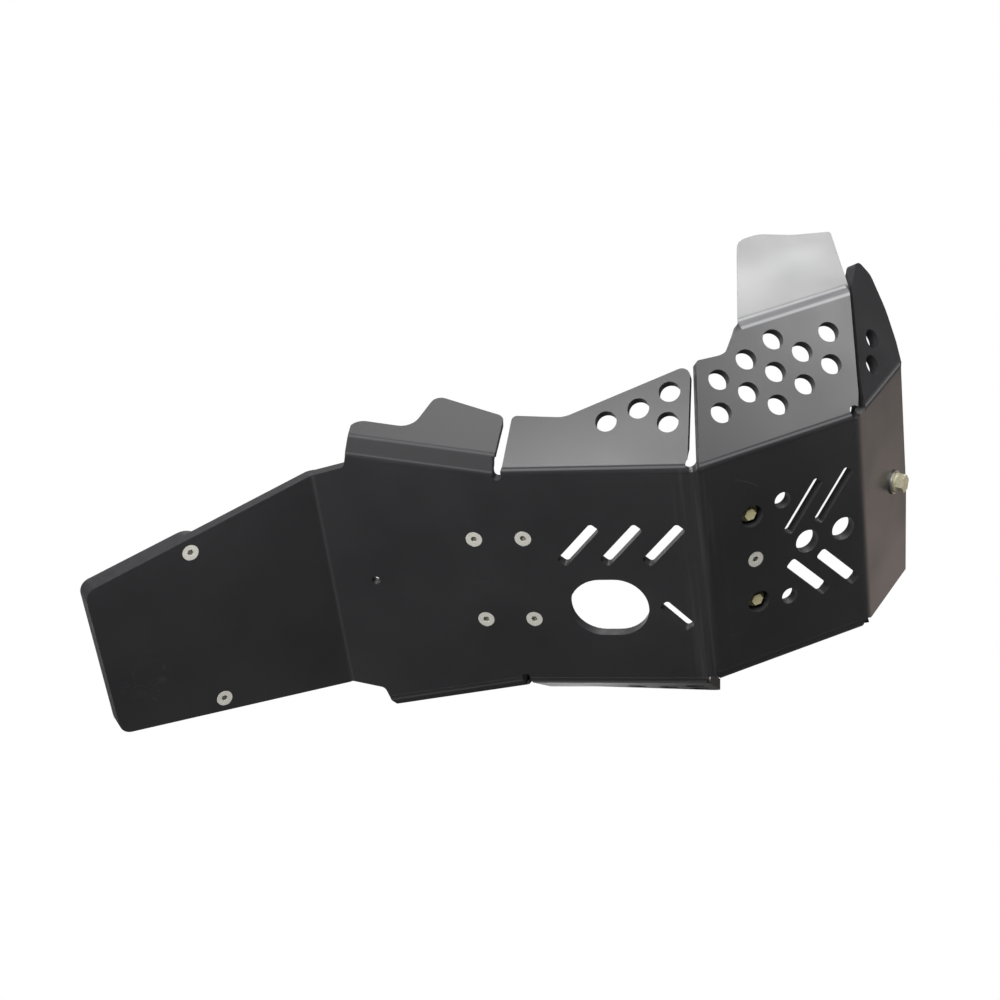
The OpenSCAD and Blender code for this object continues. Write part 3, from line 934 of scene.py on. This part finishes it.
@dataclass
class Softener:
    """Rounds the sharp edges of a copy of a CAD node.

    The angles are in radians, the lengths in metres, and the smallest panel in square metres.
    """

    edge: Edge
    mark_walls: bool = False
    steps: int = 2
    same_place: float = 0.002 * MM
    same_plane: float = math.radians(0.6)
    sharper_than: float = math.radians(24)
    shaded_sharp: float = math.radians(38)
    steepest_fold: float = math.radians(53)
    smallest_panel: float = 2000 * MM * MM
    large_face_weight: int = 100

    def walls(self, work: bmesh.types.BMesh) -> list[bmesh.types.BMFace]:
        """Finds the cut walls of a sheet.

        Faces that meet at no more than the steepest fold belong together, and together they are a
        skin of the sheet if one of them is as large as a panel.

        Args:
            work: The sheet's mesh.

        Returns:
            The faces of the walls.
        """
        left = set(work.faces)
        islands = []
        while left:
            reached = [left.pop()]
            for face in reached:
                for edge in face.edges:
                    if edge.calc_face_angle(0.0) > self.steepest_fold:
                        continue
                    for other in edge.link_faces:
                        if other in left:
                            left.remove(other)
                            reached.append(other)
            islands.append(reached)
        found = []
        for island in islands:
            if max(face.calc_area() for face in island) < self.smallest_panel:
                found.extend(island)
        return found

    def round_edges(self, work: bmesh.types.BMesh) -> None:
        """Rounds the convex sharp edges of a mesh.

        Args:
            work: The mesh.
        """
        convex = [edge for edge in work.edges if edge.is_manifold and edge.is_convex]
        bmesh.ops.bevel(
            work,
            geom=[edge for edge in convex if edge.calc_face_angle(0.0) > self.sharper_than],
            offset=self.edge.value * MM,
            offset_type="OFFSET",
            segments=self.steps,
            profile=0.5,
            affect="EDGES",
            clamp_overlap=True,
            material=-1,
        )

    def copy_of(self, node: bpy.types.Object, name: str) -> bpy.types.Object:
        """Makes the softened copy.

        Args:
            node: The CAD node's object.
            name: Name of the new piece.

        Returns:
            The new piece, with its object at the origin.
        """
        mesh = bpy.data.meshes.new(name)
        work = bmesh.new()
        work.from_mesh(node.data)
        bmesh.ops.transform(work, matrix=node.matrix_world, verts=work.verts)
        bmesh.ops.remove_doubles(work, verts=work.verts, dist=self.same_place)
        bmesh.ops.dissolve_limit(work, angle_limit=self.same_plane, verts=work.verts, edges=work.edges)
        if self.mark_walls:
            for face in self.walls(work):
                face.material_index = 1
        self.round_edges(work)
        for face in work.faces:
            face.smooth = True
        bmesh.ops.recalc_face_normals(work, faces=work.faces)
        work.to_mesh(mesh)
        work.free()
        mesh.set_sharp_from_angle(angle=self.shaded_sharp)
        piece = bpy.data.objects.new(name, mesh)
        bpy.context.scene.collection.objects.link(piece)
        level = piece.modifiers.new("level_faces", "WEIGHTED_NORMAL")
        level.keep_sharp = True
        level.weight = self.large_face_weight
        log.info("piece %s: %d faces", name, len(mesh.polygons))
        return piece


def painted(finish: Finish) -> bpy.types.Material:
    """Gives a finish's material, which is made once.

    Args:
        finish: The finish.

    Returns:
        The material.
    """
    return bpy.data.materials.get(finish.name) or finish.build()


@dataclass(frozen=True)
class Coat:
    """A finish, the name of its slot, and the nodes that wear it."""

    finish: Finish
    slot: str
    nodes: tuple[str, ...]


@dataclass
class SubAssembly:
    """A group of nodes that share an edge finish, with the coats that they wear.

    The cut coat is for the walls of a sheet.
    """

    edge: Edge
    coats: tuple[Coat, ...]
    cut_coat: Finish | None = None

    def dress(self, frame: dict) -> None:
        """Replaces each node by a softened copy with its material.

        Args:
            frame: The loaded frame.
        """
        softener = Softener(self.edge, mark_walls=self.cut_coat is not None)
        for coat in self.coats:
            for node_name in coat.nodes:
                piece = softener.copy_of(frame["nodes"][node_name], f"{node_name}_dressed")
                piece.data.materials.append(painted(coat.finish))
                if self.cut_coat is not None:
                    piece.data.materials.append(painted(self.cut_coat))
                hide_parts(node_name)
                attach(piece, "root")


@dataclass
class FoldedSheet(SubAssembly):
    """The folded sheet and the doubler on its tail."""

    edge: Edge = Edge.ROUTED
    coats: tuple[Coat, ...] = (
        Coat(PLATE_PLASTIC, "plate_plastic", ("skid_plate",)),
        Coat(DOUBLER_PLASTIC, "doubler_plastic", ("tail_doubler",)),
    )
    cut_coat: Finish | None = CUT_EDGE


@dataclass
class RearClamp(SubAssembly):
    """The two halves of the clamp behind the belly."""

    edge: Edge = Edge.MACHINED
    coats: tuple[Coat, ...] = (
        Coat(CLAMP_ALUMINIUM, "clamp_aluminium", ("rear_clamp_base", "rear_clamp_cap")),
    )


@dataclass
class FrontBracket(SubAssembly):
    """The flat bracket behind the front panel."""

    edge: Edge = Edge.SHEARED
    coats: tuple[Coat, ...] = (Coat(BRACKET_PAINT, "bracket_paint", ("front_bracket",)),)


@dataclass
class Fasteners(SubAssembly):
    """Screws, bolts, nuts, the washer and the spacer."""

    edge: Edge = Edge.ROLLED
    coats: tuple[Coat, ...] = (
        Coat(
            bright_zinc("bright_zinc_belly", Panel.BELLY, BELLY_THREAD),
            "screw_steel",
            (
                "belly_screw_front_left",
                "belly_screw_front_right",
                "belly_screw_rear_left",
                "belly_screw_rear_right",
            ),
        ),
        Coat(
            bright_zinc("bright_zinc_tail", Panel.TAIL, TAIL_THREAD),
            "screw_steel",
            ("tail_screw_left", "tail_screw_right"),
        ),
        Coat(bright_zinc("bright_zinc_front", Panel.FRONT, FRONT_THREAD), "screw_steel", ("front_screw",)),
        Coat(NOSE_ZINC, "screw_steel", ("nose_bolt",)),
        Coat(NUT_ZINC, "nut_steel", ("tail_nut_left", "tail_nut_right", "front_nut", "nose_washer")),
        Coat(BRACKET_ZINC, "zinc_yellow", ("bracket_bolt_left", "bracket_bolt_right")),
        Coat(CLAMP_ALUMINIUM, "clamp_aluminium", ("nose_spacer",)),
    )


@dataclass
class Studio:
    """A pale floor that is seen from above only, soft lights and a white background.

    The lengths are in metres. The floor lies a little below the part, and half its width is given.
    The lights stand round the middle.
    """

    floor_z: float
    floor_gap: float = 0.05 * MM
    floor_half: float = 12.0
    floor_colour: str = "#e4e3e0"
    glow_share: float = 0.75
    glow_strength: float = 1.1
    fill_colour: str = "#f2f1ee"
    fill_strength: float = 0.15
    middle: tuple[float, float, float] = (0.04, 0.0, 0.0)

    def build(self) -> None:
        """Makes the floor, the lights and the background."""
        self.floor()
        self.background()
        for light in Light:
            self.lamp(light)

    def floor(self) -> None:
        """Makes the floor at the height on which the part stands."""
        mesh = bpy.data.meshes.new("floor")
        work = bmesh.new()
        bmesh.ops.create_grid(work, x_segments=1, y_segments=1, size=self.floor_half)
        work.to_mesh(mesh)
        work.free()
        floor = bpy.data.objects.new("floor", mesh)
        floor.location = (0.0, 0.0, self.floor_z - self.floor_gap)
        bpy.context.scene.collection.objects.link(floor)
        mesh.materials.append(self.floor_paint())
        floor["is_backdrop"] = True
        log.info("floor at %.4f m", self.floor_z)

    def floor_paint(self) -> bpy.types.Material:
        """Makes the floor's paint.

        It glows a little for the camera, keeps no light from the part and can't be mirrored in it,
        and the camera looks up through it from below.

        Returns:
            The material.
        """
        paint = bpy.data.materials.new("pale_floor_paint")
        paint.use_nodes = True
        tree = paint.node_tree
        tree.nodes.clear()
        colour = srgb(self.floor_colour)
        ray = add_node(tree, "ShaderNodeLightPath").outputs
        inputs = {0: ray["Is Camera Ray"], 1: self.glow_share}
        share = add_node(tree, "ShaderNodeMath", inputs, operation="MULTIPLY").outputs["Value"]
        solid = add_node(tree, "ShaderNodeBsdfDiffuse", {"Color": colour}).outputs["BSDF"]
        inputs = {"Color": colour, "Strength": self.glow_strength}
        glow = add_node(tree, "ShaderNodeEmission", inputs).outputs["Emission"]
        pale = add_node(tree, "ShaderNodeMixShader", {"Fac": share, 1: solid, 2: glow}).outputs["Shader"]
        inputs = {0: ray["Is Shadow Ray"], 1: ray["Is Glossy Ray"]}
        light = add_node(tree, "ShaderNodeMath", inputs, operation="MAXIMUM").outputs["Value"]
        inputs = {0: add_node(tree, "ShaderNodeNewGeometry").outputs["Backfacing"], 1: light}
        through = add_node(tree, "ShaderNodeMath", inputs, operation="MAXIMUM").outputs["Value"]
        clear = add_node(tree, "ShaderNodeBsdfTransparent").outputs["BSDF"]
        mix = add_node(tree, "ShaderNodeMixShader", {"Fac": through, 1: pale, 2: clear})
        add_node(tree, "ShaderNodeOutputMaterial", {"Surface": mix.outputs["Shader"]})
        return paint

    def background(self) -> None:
        """Sets a white background for the camera and a soft grey one for the light."""
        world = bpy.data.worlds.new("studio")
        world.use_nodes = True
        bpy.context.scene.world = world
        tree = world.node_tree
        tree.nodes.clear()
        inputs = {"Color": srgb(self.fill_colour), "Strength": self.fill_strength}
        fill = add_node(tree, "ShaderNodeBackground", inputs).outputs["Background"]
        inputs = {"Color": srgb("#ffffff"), "Strength": 1.0}
        seen = add_node(tree, "ShaderNodeBackground", inputs).outputs["Background"]
        camera = add_node(tree, "ShaderNodeLightPath").outputs["Is Camera Ray"]
        mix = add_node(tree, "ShaderNodeMixShader", {"Fac": camera, 1: fill, 2: seen})
        add_node(tree, "ShaderNodeOutputWorld", {"Surface": mix.outputs["Shader"]})

    def lamp(self, light: Light) -> None:
        """Makes one soft light that faces the part.

        Args:
            light: The light to make.
        """
        box, name = light.value, light.name.lower()
        data = bpy.data.lights.new(name, "AREA")
        data.shape = "SQUARE"
        data.size = box.width
        data.energy = box.watts
        data.color = srgb(box.colour)[:3]
        lamp = bpy.data.objects.new(name, data)
        way = direction(box.bearing, box.rise)
        lamp.location = Vector(self.middle) + way * box.away
        lamp.rotation_mode = "QUATERNION"
        lamp.rotation_quaternion = way.to_track_quat("Z", "Y")
        lamp.visible_camera = False
        bpy.context.scene.collection.objects.link(lamp)
        lamp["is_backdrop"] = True
        log.info("light %s: %.0f W", name, box.watts)


@dataclass
class PhotoCamera:
    """The camera, placed where the photo was taken: below the part, on its right side.

    The bearing and the rise are as a light's, the roll is in degrees, and the lengths in metres.
    The lens and the sensor are in millimetres.
    """

    bearing: float = 0.429
    rise: float = -59.961
    roll: float = 8.021
    away: float = 1.5907
    middle: tuple[float, float, float] = (-0.00093, -0.03895, 0.02252)
    lens: float = 79.27
    sensor: float = 36.0
    nearest: float = 0.05
    farthest: float = 60.0

    def build(self) -> None:
        """Makes the camera and makes it the scene's own."""
        data = bpy.data.cameras.new("photo_camera")
        data.lens = self.lens
        data.sensor_width = self.sensor
        data.clip_start = self.nearest
        data.clip_end = self.farthest
        camera = bpy.data.objects.new("photo_camera", data)
        back = direction(self.bearing, self.rise)
        roll = Quaternion((0, 0, 1), -math.radians(self.roll))
        camera.location = Vector(self.middle) + back * self.away
        camera.rotation_mode = "QUATERNION"
        camera.rotation_quaternion = back.to_track_quat("Z", "Y") @ roll
        bpy.context.scene.collection.objects.link(camera)
        bpy.context.scene.camera = camera
        log.info("camera at %s", tuple(round(v, 3) for v in camera.location))


def corners() -> list[list[float]]:
    """Gives the shown part's box.

    Returns:
        Its lowest and highest corners as plain lists.
    """
    return [list(corner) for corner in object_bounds()]


def main() -> None:
    """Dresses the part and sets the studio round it."""
    logging.basicConfig(level=logging.INFO, format="%(name)s %(message)s")
    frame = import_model()
    cad_box = corners()
    for group in (FoldedSheet(), RearClamp(), FrontBracket(), Fasteners()):
        group.dress(frame)
    Studio(floor_z=cad_box[0][2]).build()
    PhotoCamera().build()
    bpy.context.scene.view_settings.view_transform = "Standard"


if __name__ == "__main__":
    main()
